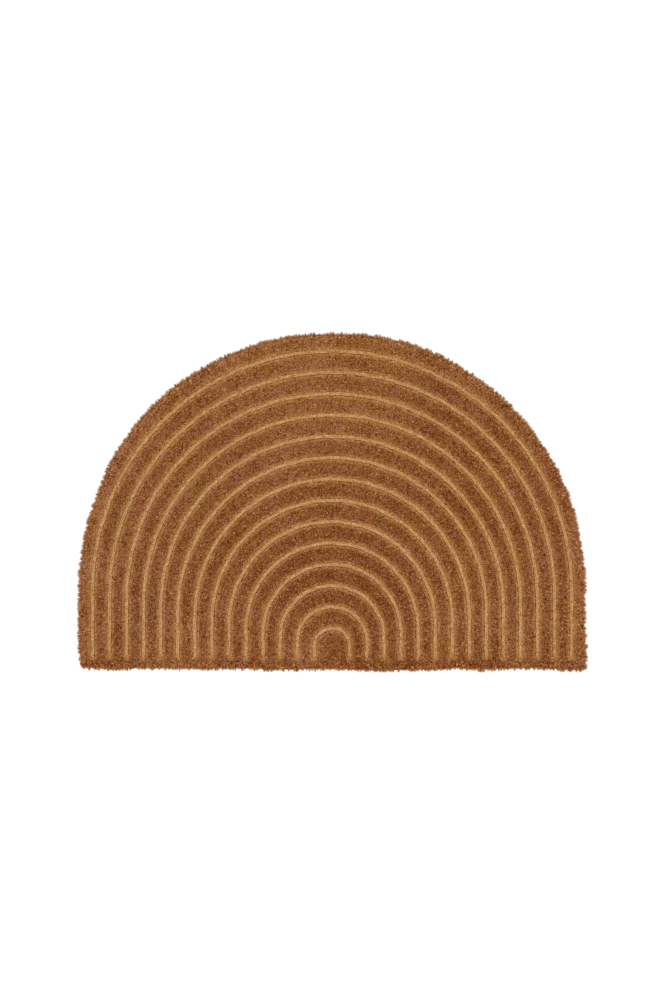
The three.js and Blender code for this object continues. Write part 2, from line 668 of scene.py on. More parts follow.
@dataclass(frozen=True)
class Bed:
    """The sheet that the fibres stand in, with its grooves, edge and underside.

    The edge goes from the top down, by how far in from the outline and how high it is
    in millimetres. The masks go by the distance from a groove in millimetres.
    """

    pattern: ArchPattern
    outline: Outline
    heights: PileHeights
    broad: BroadTone = BroadTone()

    # The usual length of a triangle, and the fewest steps along a leg and over an arch
    step: float = 5.2 * MM
    least_steps: tuple[int, int] = (2, 12)

    # The edge, how high the backing goes up it, and the rings that close the underside
    edge: Table = (
        (5.2, 12.0), (4.4, 10.6), (3.6, 6.0), (3.4, 1.9), (2.2, 1.8), (2.0, 0.9), (2.2, 0.0),
    )
    backing: float = 1.95 * MM
    underside_rings: tuple[float, ...] = (0.94, 0.7, 0.4)

    # The size in square metres up to which a triangle is left out
    sliver: float = 1e-13

    # Where the floors are, the grooves' sides and the painted shadows in the slits beside the
    # floors
    floor_mask: Table = ((-2.7, 0), (-2.45, 1), (2.45, 1), (2.7, 0))
    flank_mask: Table = ((-7.5, 0), (-5.2, 1), (5.2, 1), (7.5, 0))
    slit_shadow_mask: Table = (
        (-3.9, 0), (-3.5, 1), (-2.7, 1), (-2.45, 0), (2.45, 0), (2.7, 0.6), (3.2, 0),
    )

    # How the painted shadows in the slits come and go along the grooves, and the floors fade at
    # their feet
    slit_shadow_length: float = 7 * MM
    slit_shadow_gain: float = 2.2
    slit_shadow_loss: float = 0.35
    floor_at_foot: float = 0.5

    # How the flat map is shared between the top with the edge, and the underside
    bake_top: float = 0.6
    bake_under: float = 0.35
    bake_under_start: float = 0.64

    @property
    def half_land(self) -> float:
        """The distance from a groove to the middle of the land beside it."""
        return self.pattern.radius_step / 2

    def line(self, groove: float, across: float, height: float, waver: bool) -> Array:
        """Lays one line of points along an arch, with its two ends at the full bed.

        Args:
            groove: the number of the groove, or a number between two grooves.
            across: the distance outwards from its middle line.
            height: the height of the line.
            waver: whether the line strays as its groove does.

        Returns:
            One row of x, y and z for each point.
        """
        leg = self.pattern.leg(groove)
        arc = math.pi * self.pattern.radius(groove)
        least_leg, least_arc = self.least_steps
        leg_steps = max(least_leg, round(leg / self.step))
        arc_steps = max(least_arc, round(arc / self.step))
        up = np.linspace(0, leg, leg_steps, endpoint=False)
        over = np.linspace(leg, leg + arc, arc_steps, endpoint=False)
        down = np.linspace(leg + arc, 2 * leg + arc, leg_steps + 1)
        along = np.concatenate([up, over, down])
        x, y = self.pattern.point(groove, along, across, waver)
        points = np.stack([x, y, np.full_like(x, height)], axis=1)
        first = (x[0], self.pattern.foot_row_y, self.heights.full_bed)
        last = (x[-1], self.pattern.foot_row_y, self.heights.full_bed)
        return np.array([first, *points, last])

    def add_top(self, sheet: SheetMesh) -> list[Array]:
        """Adds the top with its grooves.

        Args:
            sheet: the mesh to add it to.

        Returns:
            The vertex numbers of each line of the top, from the middle out.
        """
        pattern = self.pattern
        full_bed = self.heights.full_bed

        # The first line goes up the heart of the innermost arch and back down
        low, high = pattern.foot_row_y, pattern.centre_y(0)
        heart = raised(np.array([(pattern.shift, y) for y in (low, high, high, low)]), full_bed)
        lines = [sheet.add(heart, -pattern.first_radius)]
        for groove in range(pattern.count):
            for across, height in self.heights.bed:
                points = self.line(groove, across * MM, height * MM, True)
                places = np.full(len(points), across * MM)
                places[[0, -1]] = self.half_land
                lines.append(sheet.add(points, places))
            if groove < pattern.count - 1:
                points = self.line(groove + 0.5, 0, full_bed, False)
                lines.append(sheet.add(points, self.half_land))
        for inner, outer in zip(lines[:-1], lines[1:]):
            sheet.fill(inner, outer)
        return lines

    def add_edge(
        self, sheet: SheetMesh, lines: list[Array], steps: EdgeSteps
    ) -> tuple[Array, Array]:
        """Adds the edge wall and joins the top to it.

        Args:
            sheet: the mesh to add it to, which holds nothing but the top.
            lines: the vertex numbers of the top's lines, from the middle out.
            steps: the steps round the edge.

        Returns:
            The vertex numbers of the wall's lowest loop, and the places of all vertices
            so far with the wall folded out flat.
        """
        unrolled = [points[:, :2] for points in sheet.points]
        loops = []
        for inset, height in self.edge:
            flat = steps.spots - steps.outward * inset * MM
            loops.append(sheet.add(raised(flat, height * MM), self.half_land))
            drop = self.heights.full - height * MM
            unrolled.append(steps.spots + steps.outward * drop)
        top = loops[0]
        feet = [line[-1] for line in reversed(lines)] + [line[0] for line in lines[1:]]
        sheet.fill(lines[-1], top[: steps.arch_count + 1])
        sheet.fill(np.array(feet), np.append(top[steps.arch_count :], top[0]))
        sheet.fill_round(loops)
        return loops[-1], np.concatenate(unrolled)

    def add_underside(self, sheet: SheetMesh, rim: Array, steps: EdgeSteps) -> None:
        """Closes the underside from the edge to one point in a few rings.

        Args:
            sheet: the mesh to add it to, which ends with the wall's lowest loop.
            rim: the vertex numbers of that loop.
            steps: the steps round the edge.
        """
        low, high = steps.spots.min(0), steps.spots.max(0)
        heart = np.array([0, (low[1] + high[1]) / 2])
        edge = sheet.points[-1][:, :2]
        loops = [rim]
        for share in self.underside_rings:
            ring = heart + share * (edge - heart)
            loops.append(sheet.add(raised(ring, 0), self.half_land))
        sheet.fill_round(loops)
        (tip,) = sheet.add(raised(heart[None], 0), self.half_land)
        inner = loops[-1]
        sheet.triangles += [(inner[i - 1], inner[i], tip) for i in range(len(inner))]

    def masks(self, vertices: Array, across: Array, rng: Random) -> dict[str, Array]:
        """Works out what the finish reads at each vertex.

        Args:
            vertices: the bed's vertices.
            across: their distance outwards from the nearest groove.
            rng: the source of random numbers.

        Returns:
            By name, how far each vertex is on a floor, in the painted shadow of a slit and
            on a groove's side, and how golden it is.
        """
        x, y = vertices[:, 0], vertices[:, 1]
        tables = {"floor": self.floor_mask, "slit_shadow": self.slit_shadow_mask, "flank": self.flank_mask}
        masks = {key: interpolate(table, across / MM) for key, table in tables.items()}
        gaps = SmoothNoise(rng, self.slit_shadow_length).at(x, y)
        clear = self.pattern.openness(x, y)
        # The painted shadow in the slits comes and goes along each groove and fades out at its feet
        masks["slit_shadow"] *= np.clip(self.slit_shadow_gain * gaps - self.slit_shadow_loss, 0, 1) * clear
        masks["floor"] *= self.floor_at_foot + (1 - self.floor_at_foot) * clear
        masks["golden"] = self.broad.golden(x, y)
        return masks

    def bake_map(self, vertices: Array, unrolled: Array) -> Array:
        """Lays the bed out flat, its top and edge below and its underside above.

        Args:
            vertices: all the bed's vertices.
            unrolled: the places of the top's and the edge's vertices, the edge unrolled.

        Returns:
            A place from 0 to 1 each way for each vertex.
        """
        low, high = unrolled.min(0), unrolled.max(0)
        under = (vertices[len(unrolled) :, :2] - low) / (high - low)
        top_map = unit_map(unrolled) * (1, self.bake_top)
        under_map = under * (1, self.bake_under) + (0, self.bake_under_start)
        return np.concatenate([top_map, under_map])

    def build(self, finishes: list[Material], rng: Random) -> bpy.types.Object:
        """Builds the bed as one closed piece.

        Args:
            finishes: the finish of the top, then that of the backing.
            rng: the source of random numbers.

        Returns:
            The piece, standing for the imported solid.
        """
        sheet = SheetMesh()
        steps = self.outline.in_steps(self.step)
        lines = self.add_top(sheet)
        rim, unrolled = self.add_edge(sheet, lines, steps)
        self.add_underside(sheet, rim, steps)

        vertices = np.concatenate(sheet.points)
        triangles = np.array(sheet.triangles)
        a, b, c = vertices[triangles].transpose(1, 0, 2)
        keep = np.linalg.norm(np.cross(b - a, c - a), axis=1) > self.sliver
        triangles = triangles[keep]
        highest = vertices[triangles][:, :, 2].max(1)
        finish_of = (highest < self.backing).astype(int)
        bake = self.bake_map(vertices, unrolled)
        masks = self.masks(vertices, np.concatenate(sheet.across), rng)
        parts = MeshParts(vertices, triangles, bake, masks, finish_of)
        piece = parts.build("mat_bed", finishes)
        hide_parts("mat")
        return piece


@dataclass(frozen=True)
class Bristles:
    """Three-sided bristles, each tapering to its cut end.

    Attributes:
        roots: the middle of each bristle's foot.
        tips: its upper end.
        radii: the radius of its foot.
        turns: how far it is turned about its own axis.
        shade: how light it is, from 0 to 1.
        flank: how far it stands on a groove's side, from 0 to 1.
        speck: 1 where it is a bright one, -1 where it is a sunk one with painted shade, else 0.
        golden: how much more golden it is than the rest.
    """

    roots: Array
    tips: Array
    radii: Array
    turns: Array
    shade: Array
    flank: Array
    speck: Array
    golden: Array

    def picked(self, here: Array) -> "Bristles":
        """The bristles at the places that are marked."""
        return Bristles(**{name: value[here] for name, value in vars(self).items()})

    def mesh(self, root_shade: float, tip_shade: float) -> MeshParts:
        """Makes the mesh, four vertices for each bristle with its tip last.

        Args:
            root_shade: the share of its shade that a bristle has at its foot, less than 1 where
                shade is painted there.
            tip_shade: the share that it has at its tip, likewise.

        Returns:
            The mesh, laid out flat for baking with each bristle round its own foot.
        """
        corners = []
        for side in range(3):
            angle = self.turns + side * 2 * math.pi / 3
            level = np.zeros(len(angle))
            reach = np.stack([np.cos(angle), np.sin(angle), level], axis=1)
            corners.append(self.roots + self.radii[:, None] * reach)
        corners = np.stack([*corners, self.tips], axis=1)
        first = 4 * np.arange(len(corners))[:, None]
        faces = [first + np.array(face) for face in ((0, 1, 3), (1, 2, 3), (2, 0, 3))]
        triangles = np.stack(faces, axis=1).reshape(-1, 3)

        flat = corners[:, :, :2].copy()
        flat[:, 3] = flat[:, :3].mean(1)
        shares = (root_shade, root_shade, root_shade, tip_shade)
        values = {
            "shade": np.outer(self.shade, shares).ravel(),
            "flank": np.repeat(self.flank, 4),
            "speck": np.repeat(self.speck, 4),
            "golden": np.repeat(self.golden, 4),
        }
        bake = unit_map(flat.reshape(-1, 2))
        return MeshParts(corners.reshape(-1, 3), triangles, bake, values)


class PileArea(Enum):
    """The stretches of cut pile, by the first and last groove they lie next to."""

    HEART = (0, 5)
    INNER = (6, 8)
    MIDDLE = (9, 10)
    OUTER = (11, 12)
    BORDER = (13, 13)


@dataclass(frozen=True)
class Stand:
    """How the bristles of the cut pile stand, with one place in each array for each.

    Attributes:
        tufts: the tufts that they gather into.
        x: their places along x.
        y: their places along y.
        push: how far the splay of the mat's edge moves each tip along x and y.
        groove: the number of the nearest groove.
        across: the distance outwards from it.
        outward: the direction away from the middle of the mat.
        row: the row of each bristle's tuft.
        column: the column of its tuft.
        clear: how clear of pile the grooves are there.
        flank: how far each stands on a groove's side, from 0 to 1.
    """

    tufts: Tufts
    x: Array
    y: Array
    push: Array
    groove: Array
    across: Array
    outward: Array
    row: Array
    column: Array
    clear: Array
    flank: Array

    def of_tuft(self, values: Array) -> Array:
        """What each bristle has from its tuft, out of the values of all tufts."""
        return values[self.row, self.column]


@dataclass(frozen=True)
class CutPile:
    """The upright fibres of the lands between the grooves, cut level.

    The tables of shades go by the distance from a groove in millimetres, and
    front_shade by that from the straight edge.
    """

    pattern: ArchPattern
    outline: Outline
    heights: PileHeights
    broad: BroadTone = BroadTone()

    # Where the bristles stand, and how they keep clear of the grooves
    spacing: float = 1.13 * MM
    shake: float = 0.36
    clear_inside: float = 3.25 * MM
    clear_outside: float = 2.72 * MM
    clear_stray: float = 0.12 * MM
    flank_reach: float = 9.0 * MM
    flank_fade: float = 3.6 * MM
    tuft_spacing: float = 1.4 * MM

    # How they splay along the mat's edge
    rim: float = 4.8 * MM
    rim_reach: float = 10 * MM
    rim_splay: float = 2.2 * MM

    # How thick and how tall they are
    radius: float = 0.80 * MM
    thickness: Span = (0.8, 1.15)
    flank_thinner: float = 0.1
    sunk_root: float = 0.4 * MM
    least: float = 0.6 * MM
    least_at_foot: float = 1.0 * MM
    uneven: float = 0.5 * MM
    tuft_uneven: float = 0.6
    flank_evener: float = 0.6

    # How they lean and gather into tufts
    lean: float = 0.15
    tuft_lean: float = 0.7
    own_lean: float = 0.7
    groove_lean: float = 0.12
    gather: float = 0.3

    # The few that are sunk, with painted shade in their hollows, or bright
    speck_spacing: float = 1.9 * MM
    sunk_share: float = 0.032
    sunk_depth: float = 1.5 * MM
    bright_share: float = 0.014

    # How light they are, with painted shade on the cut ends and painted light and shade across the
    # grooves
    root_shade: float = 1.0
    # The cut ends get painted shade, dimming the lit sides of the bristles as seen from low down
    tip_shade: float = 0.75
    tuft_shade: float = 0.9
    even_shade: float = 0.023
    patches: tuple[float, ...] = (9 * MM, 26 * MM, 60 * MM)
    patch_shade: float = 0.15
    broad_flank_loss: float = 0.7
    rim_shade: float = -0.015
    front_shade: Table = ((4, -0.05), (8, -0.07), (14, -0.05), (20, 0))
    border_shade: Table = ((4.3, 0.0), (5.0, 0.09), (9.5, 0.09), (12.5, 0.045))
    # Painted light on the shoulders of the grooves, most on their inner side, and painted shade on
    # the tips beside the slits
    side_shade: Table = (
        (-7.0, 0.0), (-5.6, 0.11), (-4.6, 0.12), (-3.8, 0.04), (-3.1, -0.06),
        (2.2, -0.1), (3.2, -0.06), (4.4, 0.03), (5.8, 0.04), (7.2, 0.0),
    )

    def scatter(self, rng: Random) -> tuple[Array, Array, Array]:
        """Scatters the bristles in even, shaken rows over the whole mat.

        Args:
            rng: the source of random numbers.

        Returns:
            Their places along x and y, and how far the splay of the mat's edge moves
            each tip along x and y.
        """
        low, high = self.outline.points.min(0), self.outline.points.max(0)
        row = self.spacing * math.sqrt(3) / 2
        xs = np.arange(low[0], high[0], self.spacing)
        ys = np.arange(low[1], high[1], row)
        x, y = np.meshgrid(xs, ys)
        x = x + self.spacing / 2 * (np.arange(len(ys)) % 2)[:, None]
        x = x.ravel()
        y = y.ravel()
        shake = self.shake * self.spacing
        x = x + rng.uniform(-shake, shake, x.shape)
        y = y + rng.uniform(-shake, shake, y.shape)
        depth, towards = self.outline.depth(x, y)
        near = np.clip(1 - (depth - self.rim) / self.rim_reach, 0, 1)
        push = self.rim_splay * (near * near)[:, None] * towards
        keep = depth > self.rim
        return x[keep], y[keep], push[keep]

    def stand(self, rng: Random) -> Stand:
        """Finds how the bristles stand, without any on the pressed floors.

        Args:
            rng: the source of random numbers.

        Returns:
            How they stand.
        """
        x, y, push = self.scatter(rng)
        tufts = Tufts(rng, self.tuft_spacing)
        row, column = tufts.nearest(x, y)
        place = self.pattern.locate(x, y)
        start = place.across + self.clear_stray * tufts.rise[row, column]
        clear = self.pattern.openness(x, y)
        keep = (start < -self.clear_inside * clear) | (start > self.clear_outside * clear)
        outward = np.stack([place.outward_x, place.outward_y], axis=1)
        flank = np.clip((self.flank_reach - np.abs(place.across)) / self.flank_fade, 0, 1)
        every = (x, y, push, place.groove, place.across, outward, row, column, clear, flank)
        return Stand(tufts, *(value[keep] for value in every))

    def tips(self, stand: Stand, bed: Array, tall: Array, rng: Random) -> Array:
        """Works out where the cut ends are.

        Args:
            stand: how the bristles stand.
            bed: the height of the bed under each.
            tall: how tall each stands above it.
            rng: the source of random numbers.

        Returns:
            One row of x, y and z for each.
        """
        tufts = stand.tufts
        bend = -np.sign(stand.across) * self.groove_lean * stand.flank
        ends = []
        sides = ((stand.x, tufts.x, tufts.lean_x), (stand.y, tufts.y, tufts.lean_y))
        for axis, (place, middle, lean) in enumerate(sides):
            own = rng.normal(0, self.own_lean, len(place))
            slope = self.lean * (self.tuft_lean * stand.of_tuft(lean) + own)
            slope = slope + bend * stand.outward[:, axis]
            gathered = self.gather * (stand.of_tuft(middle) - place)
            ends.append(place + slope * tall + gathered + stand.push[:, axis])
        return np.column_stack([*ends, bed + tall])

    def shade(self, stand: Stand, patch: Array, rng: Random) -> Array:
        """Works out how light the bristles are, with painted light and shade across the grooves.

        Args:
            stand: how they stand.
            patch: the light and dark patches, about 0.
            rng: the source of random numbers.

        Returns:
            A value from about 0, dark, to about 1, light, for each.
        """
        shade = self.tuft_shade * stand.of_tuft(stand.tufts.shade)
        shade = shade + (1 - self.tuft_shade) * rng.uniform(0, 1, len(stand.x))
        shade = shade + self.even_shade + self.patch_shade * patch
        light = self.broad.light(stand.x, stand.y)
        shade = shade + light * (1 - self.broad_flank_loss * stand.flank)
        splay = np.linalg.norm(stand.push, axis=1) / self.rim_splay
        shade = shade + self.rim_shade * splay
        front = (stand.y - self.pattern.straight_edge) / MM
        shade = shade + interpolate(self.front_shade, front)
        across = stand.across / MM
        # Painted light on the groove shoulders and painted shade beside the slits, fading out with
        # the grooves at their feet
        shade = shade + interpolate(self.side_shade, across) * stand.clear
        border = stand.groove == self.pattern.count - 1
        return shade + np.where(border, interpolate(self.border_shade, across), 0)

    def build(self, finish: Material, rng: Random) -> list[bpy.types.Object]:
        """Builds the pile, one piece for each area.

        Args:
            finish: the finish of the fibres.
            rng: the source of random numbers.

        Returns:
            The pieces.
        """
        stand = self.stand(rng)
        x, y = stand.x, stand.y
        count = len(x)
        patch = sum(SmoothNoise(rng, size).at(x, y) - 0.5 for size in self.patches)
        rise = self.tuft_uneven * stand.of_tuft(stand.tufts.rise)
        rise = rise + (1 - self.tuft_uneven) * rng.normal(0, 1, count)
        specks = Tufts(rng, self.speck_spacing)
        odd = specks.odd[specks.nearest(x, y)]
        sunk = odd < self.sunk_share
        bright = odd > 1 - self.bright_share

        foot = self.pattern.foot_rise(y)
        bed = np.maximum(self.heights.bed_at(stand.across), self.heights.ramp_at(foot))
        uneven = self.uneven * (1 - self.flank_evener * stand.flank)
        top = self.heights.tips_at(stand.across) + rise * uneven - sunk * self.sunk_depth
        tall = np.maximum(top - bed, self.least + self.least_at_foot * foot)

        tips = self.tips(stand, bed, tall, rng)
        thinner = 1 - self.flank_thinner * stand.flank
        bristles = Bristles(
            roots=np.column_stack([x, y, bed - self.sunk_root]),
            tips=tips,
            radii=self.radius * thinner * rng.uniform(*self.thickness, count),
            turns=rng.uniform(0, 2 * math.pi, count),
            shade=self.shade(stand, patch, rng),
            flank=stand.flank,
            speck=bright.astype(float) - sunk,
            golden=self.broad.golden(x, y),
        )
        pieces = []
        for area in PileArea:
            first, last = area.value
            here = bristles.picked((stand.groove >= first) & (stand.groove <= last))
            parts = here.mesh(self.root_shade, self.tip_shade)
            parts.values["shade"] = np.clip(parts.values["shade"], 0, 1)
            pieces.append(parts.build(f"cut_pile_{area.name.lower()}", [finish]))
        return pieces


@dataclass(frozen=True)
class EdgeBristles:
    """The fibres along the cut edge, standing on the backing and splaying out."""

    outline: Outline
    heights: PileHeights
    broad: BroadTone = BroadTone()

    # The rows that they stand in, from the outermost inwards
    spacing: float = 0.56 * MM
    row_count: int = 6
    first_inset: float = 2.0 * MM
    inset_step: float = 0.6 * MM

    # How thick they are, and the height of their feet
    radius: float = 0.5 * MM
    thickness: Span = (0.8, 1.2)
    foot: float = 1.7 * MM

    # How they splay outwards and sideways, and how much lower they end
    tuft_spacing: float = 1.95 * MM
    splay: float = 1.9 * MM
    own_splay: float = 0.75 * MM
    splay_limits: Span = (-1.8 * MM, 3.6 * MM)
    row_lag: float = 0.95
    side_reach: float = 1.15 * MM
    far_reach: float = 0.45 * MM
    front_splay: float = 0.08
    sideways: float = 0.5 * MM
    uneven: float = 0.5 * MM
    bow: float = 0.35

    # How light they are, with painted shade at their feet low among the bristles
    tuft_shade: float = 0.65
    own_shade: Span = (0.05, 0.35)
    # The feet get painted shade, low among the bristles
    root_shade: float = 0.62
    tip_shade: float = 1.02
    flank: float = 0.8

    def rows(self, rng: Random) -> Array:
        """Sets the bristles in rows along the edge.

        Args:
            rng: the source of random numbers.

        Returns:
            One row for each with its place along x and y, the outward direction along
            x and y and how far in from the edge it stands.
        """
        count = round(self.outline.length / self.spacing)
        rows = []
        for row in range(self.row_count):
            inset = self.first_inset + row * self.inset_step
            places = np.arange(count) * self.outline.length / count
            places = places + rng.uniform(-0.5, 0.5, count) * self.spacing
            outward = self.outline.outward_at(places)
            spots = self.outline.at(places) - outward * inset
            rows.append(np.column_stack([spots, outward, np.full(count, inset)]))
        return np.concatenate(rows)

    def build(self, finish: Material, rng: Random) -> bpy.types.Object:
        """Builds the bristles as one piece.

        Args:
            finish: the finish of the fibres.
            rng: the source of random numbers.

        Returns:
            The piece.
        """
        x, y, out_x, out_y, inset = self.rows(rng).T
        count = len(x)
        tufts = Tufts(rng, self.tuft_spacing)
        tuft = tufts.nearest(x + out_x * inset, y + out_y * inset)
        stray = self.splay * tufts.rise[tuft] + rng.normal(0, self.own_splay, count)
        stray = stray * (1 + self.front_splay * np.maximum(-out_y, 0))
        stray = stray + self.side_reach * np.abs(out_x)
        stray = stray + self.far_reach * np.maximum(out_y, 0)
        stray = np.clip(stray, *self.splay_limits)
        stray = stray - self.row_lag * (inset - self.first_inset)
        sideways = rng.normal(0, self.sideways, count)
        drop = np.abs(rng.normal(0, self.uneven, count)) + np.maximum(stray, 0) * self.bow
        tip_x = x + out_x * (inset + stray) - out_y * sideways
        tip_y = y + out_y * (inset + stray) + out_x * sideways
        bristles = Bristles(
            roots=np.column_stack([x, y, np.full(count, self.foot)]),
            tips=np.column_stack([tip_x, tip_y, self.heights.full - drop]),
            radii=self.radius * rng.uniform(*self.thickness, count),
            turns=rng.uniform(0, 2 * math.pi, count),
            shade=tufts.shade[tuft] * self.tuft_shade + rng.uniform(*self.own_shade, count),
            flank=np.full(count, self.flank),
            speck=np.zeros(count),
            golden=self.broad.golden(x, y),
        )
        return bristles.mesh(self.root_shade, self.tip_shade).build("edge_bristles", [finish])


@dataclass(frozen=True)
class PressedStrands:
    """The fibres that lie flat along the pressed floor of each groove."""

    pattern: ArchPattern
    heights: PileHeights
    broad: BroadTone = BroadTone()

    # How many there are for each metre of a groove, and their sizes
    per_length: float = 3.6 / MM
    length: Span = (1.6 * MM, 4.0 * MM)
    half_width: Span = (0.4 * MM, 0.7 * MM)
    lift: Span = (0.15 * MM, 0.5 * MM)
    sunk: float = 0.1 * MM

    # How they lie across the floor, crowding its sides a little
    half_floor: float = 2.25 * MM
    crowding: float = 0.85
    limit: float = 2.5 * MM
    slant: float = 0.25

    # How much lighter they are by groove and at the floor's sides, and what the feet keep
    groove_shade: Table = ((1, 0), (2, 0.025), (9, 0.025), (11, 0), (12, -0.045), (13, -0.045))
    side_shade: float = 0.16
    foot_shade: float = 0.45

    def build(self, finish: Material, rng: Random) -> bpy.types.Object:
        """Builds the strands as one piece, each a low ridge that tapers to its ends.

        Args:
            finish: the finish of the fibres.
            rng: the source of random numbers.

        Returns:
            The piece.
        """
        pattern = self.pattern
        lengths = [pattern.length(groove) for groove in range(pattern.count)]
        counts = [round(length * self.per_length) for length in lengths]
        groove = np.repeat(np.arange(pattern.count), counts)
        total = np.repeat(np.array(lengths), counts)
        count = len(groove)
        span = rng.uniform(*self.length, count)
        start = rng.uniform(0, 1, count) * (total - span)
        aside = rng.uniform(-1, 1, count)
        aside = np.sign(aside) * np.abs(aside) ** self.crowding
        middle = aside * self.half_floor
        slope = rng.normal(0, self.slant, count)
        half_width = rng.uniform(*self.half_width, count)
        lift = rng.uniform(*self.lift, count)

        # The two ends, the two sides and the ridge between them
        corners = []
        for forward, side, up in ((0, 0, 0), (1, 0, 0), (0.5, -1, 0), (0.5, 1, 0), (0.5, 0, 1)):
            across = middle + slope * (forward - 0.5) * span + side * half_width
            across = np.clip(across, -self.limit, self.limit)
            x, y = pattern.point(groove, start + forward * span, across)
            height = self.heights.bed_at(across) - self.sunk + up * (lift + self.sunk)
            corners.append(np.column_stack([x, y, height]))
        vertices = np.stack(corners, axis=1).reshape(-1, 3)
        faces = np.array([(0, 2, 4), (2, 1, 4), (1, 3, 4), (3, 0, 4)])
        first = len(corners) * np.arange(count)[:, None, None]
        triangles = (first + faces[None]).reshape(-1, 3)

        shade = eased(rng.uniform(0, 1, count)) + self.side_shade * aside * aside
        shade = shade + interpolate(self.groove_shade, groove)
        x, y = pattern.point(groove, start + span / 2, middle)
        clear = pattern.openness(x, y)
        shade = shade * (self.foot_shade + (1 - self.foot_shade) * clear)
        values = {
            "shade": np.repeat(shade, len(corners)),
            "golden": np.repeat(self.broad.golden(x, y), len(corners)),
        }
        parts = MeshParts(vertices, triangles, unit_map(vertices[:, :2]), values)
        return parts.build("pressed_strands", [finish])


class NodeTree:
    """A shorthand for building one shader node tree."""

    def __init__(self, tree: bpy.types.NodeTree) -> None:
        """Keeps the tree that the nodes go into."""
        self.tree = tree

    def feed(self, socket: Socket, value: object) -> None:
        """Gives an input what it works with.

        Args:
            socket: the input.
            value: the socket that feeds it, or else its value, a colour as three numbers.
        """
        if isinstance(value, Socket):
            self.tree.links.new(value, socket)
        elif socket.type == "RGBA":
            socket.default_value = (*value, 1)
        else:
            socket.default_value = value

    def add(self, kind: str, inputs: dict | None = None, **settings: object) -> bpy.types.Node:
        """Adds a node.

        Args:
            kind: Blender's name for the kind of node.
            inputs: for each input by name or number, a value or the socket that feeds it.
            settings: the node's own settings by name.

        Returns:
            The node.
        """
        node = self.tree.nodes.new(kind)
        for key, value in settings.items():
            setattr(node, key, value)
        for key, value in (inputs or {}).items():
            self.feed(node.inputs[key], value)
        return node

    def surface(self, **inputs: object) -> None:
        """Adds the Principled shader and the output after it.

        Args:
            inputs: the shader's inputs by name, with _ for a space.
        """
        named = {key.replace("_", " "): value for key, value in inputs.items()}
        shader = self.add("ShaderNodeBsdfPrincipled", named)
        self.add("ShaderNodeOutputMaterial", {0: shader.outputs[0]})

    def place(self) -> Socket:
        """Adds a reading of the place on the object, and returns it."""
        return self.add("ShaderNodeTexCoord").outputs["Object"]

    def attribute(self, name: str) -> Socket:
        """Adds a reading of a value that the vertices hold, and returns it."""
        return self.add("ShaderNodeAttribute", attribute_name=name).outputs["Fac"]

    def share(self, value: Socket, factor: float) -> Socket:
        """Adds a product kept between 0 and 1, and returns it."""
        inputs = {0: value, 1: factor}
        return self.add("ShaderNodeMath", inputs, operation="MULTIPLY", use_clamp=True).outputs[0]

    def vector(self, operation: str, *inputs: Socket | Colour) -> Socket:
        """Adds a sum, product or the like of vectors, and returns its result."""
        given = dict(enumerate(inputs))
        return self.add("ShaderNodeVectorMath", given, operation=operation).outputs[0]

    def mix(self, share: object, first: object, second: object, blend: str = "MIX") -> Socket:
        """Adds a mix of two colours by the share of the second, and returns its colour."""
        inputs = {0: share, 6: first, 7: second}
        return self.add("ShaderNodeMix", inputs, data_type="RGBA", blend_type=blend).outputs[2]

    def ramp(self, value: Socket, stops: Stops) -> Socket:
        """Adds a run of colours.

        Args:
            value: the value that picks from it.
            stops: the colours with their places from 0 to 1.

        Returns:
            The picked colour.
        """
        node = self.add("ShaderNodeValToRGB", {0: value})
        elements = node.color_ramp.elements
        while len(elements) < len(stops):
            elements.new(0.5)
        for element, (position, colour) in zip(elements, stops):
            element.position = position
            element.color = (*colour, 1)
        return node.outputs[0]

    def noise(self, place: Socket, size: float, detail: float = 2.0) -> bpy.types.Node:
        """Adds noise whose spots are about a given size across, and returns its node."""
        inputs = {"Vector": place, "Scale": 1 / size, "Detail": detail}
        return self.add("ShaderNodeTexNoise", inputs)

    def toned(self, tone: bpy.types.NodeTree, colour: Socket, blotches: float) -> Socket:
        """Adds the coir tone over the colour of a fibre, and returns the toned colour."""
        inputs = {"Fibre": colour, "Golden": self.attribute("golden"), "Blotches": blotches}
        return self.add("ShaderNodeGroup", inputs, node_tree=tone).outputs[0]


